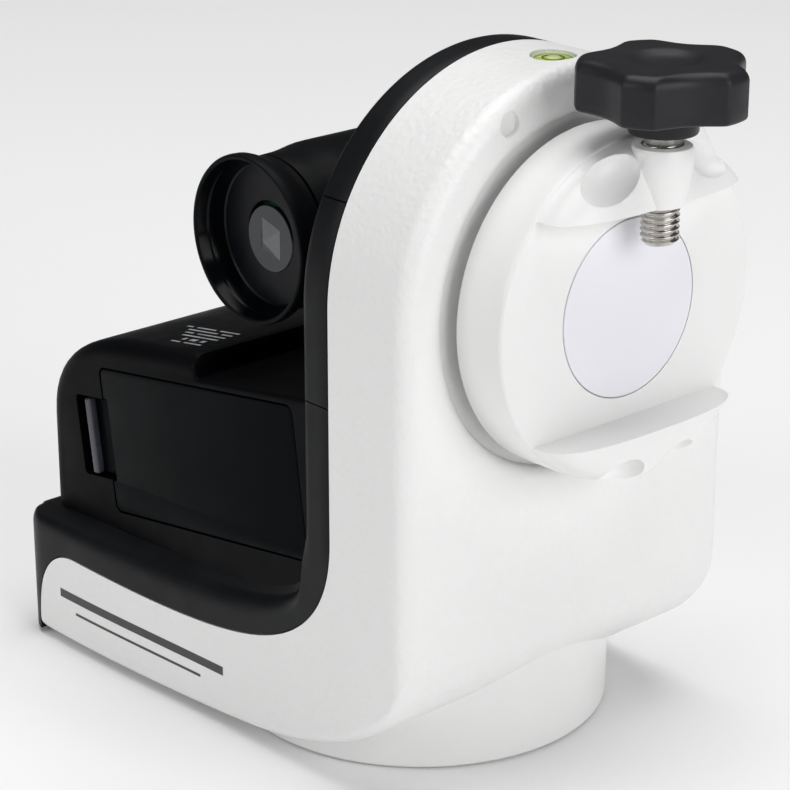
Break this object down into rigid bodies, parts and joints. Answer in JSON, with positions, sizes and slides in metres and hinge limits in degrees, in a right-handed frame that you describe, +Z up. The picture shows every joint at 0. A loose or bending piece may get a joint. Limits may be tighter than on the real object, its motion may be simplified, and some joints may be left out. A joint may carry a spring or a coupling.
{
  "type": "star tracker mount",
  "caption": "Motorised alt-azimuth star tracker mount: white arm and drum base, dovetail saddle with clamp knob, black sun sensor and battery box.",
  "frame": {"origin": "azimuth axis at the underside of the base, centre of the bounding box in plan", "axes": "+Z up along the azimuth axis; -Y is the way the saddle faces; -X is the way the sun sensor looks"},
  "size_m": [0.1044, 0.1784, 0.1634],
  "materials": {
    "powder_white": "crinkle powder coat",
    "disc_label": "satin",
    "base_rubber": "matte",
    "bronze": "machined",
    "steel": "machined",
    "chassis_alloy": "satin",
    "black_moulding": "fine texture",
    "box_moulding": "fine texture",
    "door_moulding": "smooth satin",
    "inner_plastic": "matte",
    "circuit_board": "satin",
    "switch_black": "gloss",
    "level_rim": "gloss",
    "level_green": "gloss",
    "screw_steel": "polished",
    "knob_black": "satin",
    "sensor_black": "fine texture",
    "sensor_gloss": "gloss inside",
    "sensor_glass": "gloss",
    "cell_wrap": "gloss",
    "button_rubber": "matte"
  },
  "bodies": {
    "base": {"base_drum": "powder_white", "base_plate": "base_rubber", "tripod_bush": "bronze", "azimuth_spindle": "steel", "azimuth_worm_wheel": "bronze"},
    "arm": {"front_shell": "powder_white", "mid_cover": "black_moulding", "arch_cover": "black_moulding", "foot_cover": "black_moulding", "battery_box": "box_moulding", "battery_bay": "inner_plastic", "battery_tray": "inner_plastic", "contact_plate": "steel", "control_board": "circuit_board", "power_socket": "inner_plastic", "switch_bezel": "inner_plastic", "chassis": "chassis_alloy", "azimuth_bearing": "steel", "azimuth_motor": "steel", "altitude_bearing_front": "steel", "altitude_bearing_rear": "steel", "altitude_motor": "steel", "level_cup": "level_rim", "level_vial": "level_green", "cell_1": "cell_wrap", "cell_2": "cell_wrap", "cell_3": "cell_wrap", "cell_4": "cell_wrap", "cell_5": "cell_wrap", "cell_6": "cell_wrap", "cell_7": "cell_wrap", "cell_8": "cell_wrap"},
    "altitude": {"saddle": "powder_white", "centre_disc": "disc_label", "altitude_shaft": "steel", "altitude_worm_wheel": "bronze", "clutch_nut": "steel", "sensor_hub": "sensor_black", "sensor_body": "sensor_black", "sensor_hood": "sensor_gloss", "sensor_window": "sensor_glass", "sensor_prism": "sensor_glass", "sensor_board": "circuit_board"},
    "az_worm": {"azimuth_worm": "steel"},
    "alt_worm": {"altitude_worm": "steel"},
    "screw": {"clamp_screw": "screw_steel"},
    "knob": {"knob": "knob_black"},
    "door": {"battery_door": "door_moulding"},
    "latch": {"door_latch": "door_moulding"},
    "switch": {"power_switch": "switch_black"},
    "btn_up": {"button_up": "button_rubber"},
    "btn_down": {"button_down": "button_rubber"},
    "btn_left": {"button_left": "button_rubber"},
    "btn_right": {"button_right": "button_rubber"}
  },
  "joints": [
    {"name": "azimuth_turn", "type": "hinge", "parent": "base", "child": "arm", "pos_m": [0, 0, 0], "axis": [0, 0, 1], "continuous": true},
    {"name": "azimuth_worm_turn", "type": "hinge", "parent": "arm", "child": "az_worm", "pos_m": [0, 0.03435, 0.0322], "axis": [1, 0, 0], "continuous": true},
    {"name": "altitude_turn", "type": "hinge", "parent": "arm", "child": "altitude", "pos_m": [0, -0.05064, 0.10935], "axis": [0, 1, 0], "range_deg": [-10, 95]},
    {"name": "altitude_worm_turn", "type": "hinge", "parent": "arm", "child": "alt_worm", "pos_m": [0, -0.034, 0.078], "axis": [1, 0, 0], "range_deg": [-3600, 3600]},
    {"name": "knob_turn", "type": "hinge", "parent": "screw", "child": "knob", "pos_m": [0, -0.07134, 0.15], "axis": [0, 0, 1], "range_deg": [-541, 3241]},
    {"name": "screw_feed", "type": "slide", "parent": "altitude", "child": "screw", "axis": [0, 0, 1], "range_m": [-0.00187, 0.01125]},
    {"name": "door_swing", "type": "hinge", "parent": "arm", "child": "door", "pos_m": [-0.0451, -0.01003, 0.06596], "axis": [0, 0.1461, 0.9893], "range_deg": [0, 95]},
    {"name": "latch_slide", "type": "slide", "parent": "door", "child": "latch", "axis": [0, 0.9893, -0.1461], "range_m": [0, 0.002], "stiffness_N_per_m": 400},
    {"name": "switch_rock", "type": "hinge", "parent": "arm", "child": "switch", "pos_m": [0.013, 0.081, 0.047], "axis": [0, 0, 1], "range_deg": [-7, 7]},
    {"name": "press_up", "type": "slide", "parent": "arm", "child": "btn_up", "axis": [-1, 0, 0], "range_m": [0, 0.0006], "stiffness_N_per_m": 600},
    {"name": "press_down", "type": "slide", "parent": "arm", "child": "btn_down", "axis": [-1, 0, 0], "range_m": [0, 0.0006], "stiffness_N_per_m": 600},
    {"name": "press_left", "type": "slide", "parent": "arm", "child": "btn_left", "axis": [-1, 0, 0], "range_m": [0, 0.0006], "stiffness_N_per_m": 600},
    {"name": "press_right", "type": "slide", "parent": "arm", "child": "btn_right", "axis": [-1, 0, 0], "range_m": [0, 0.0006], "stiffness_N_per_m": 600}
  ],
  "couplings": [
    {"joint": "azimuth_worm_turn", "follows": "azimuth_turn", "ratio": 10},
    {"joint": "altitude_worm_turn", "follows": "altitude_turn", "ratio": 10},
    {"joint": "knob_turn", "follows": "screw_feed", "rad_per_m": 5026.5}
  ]
}
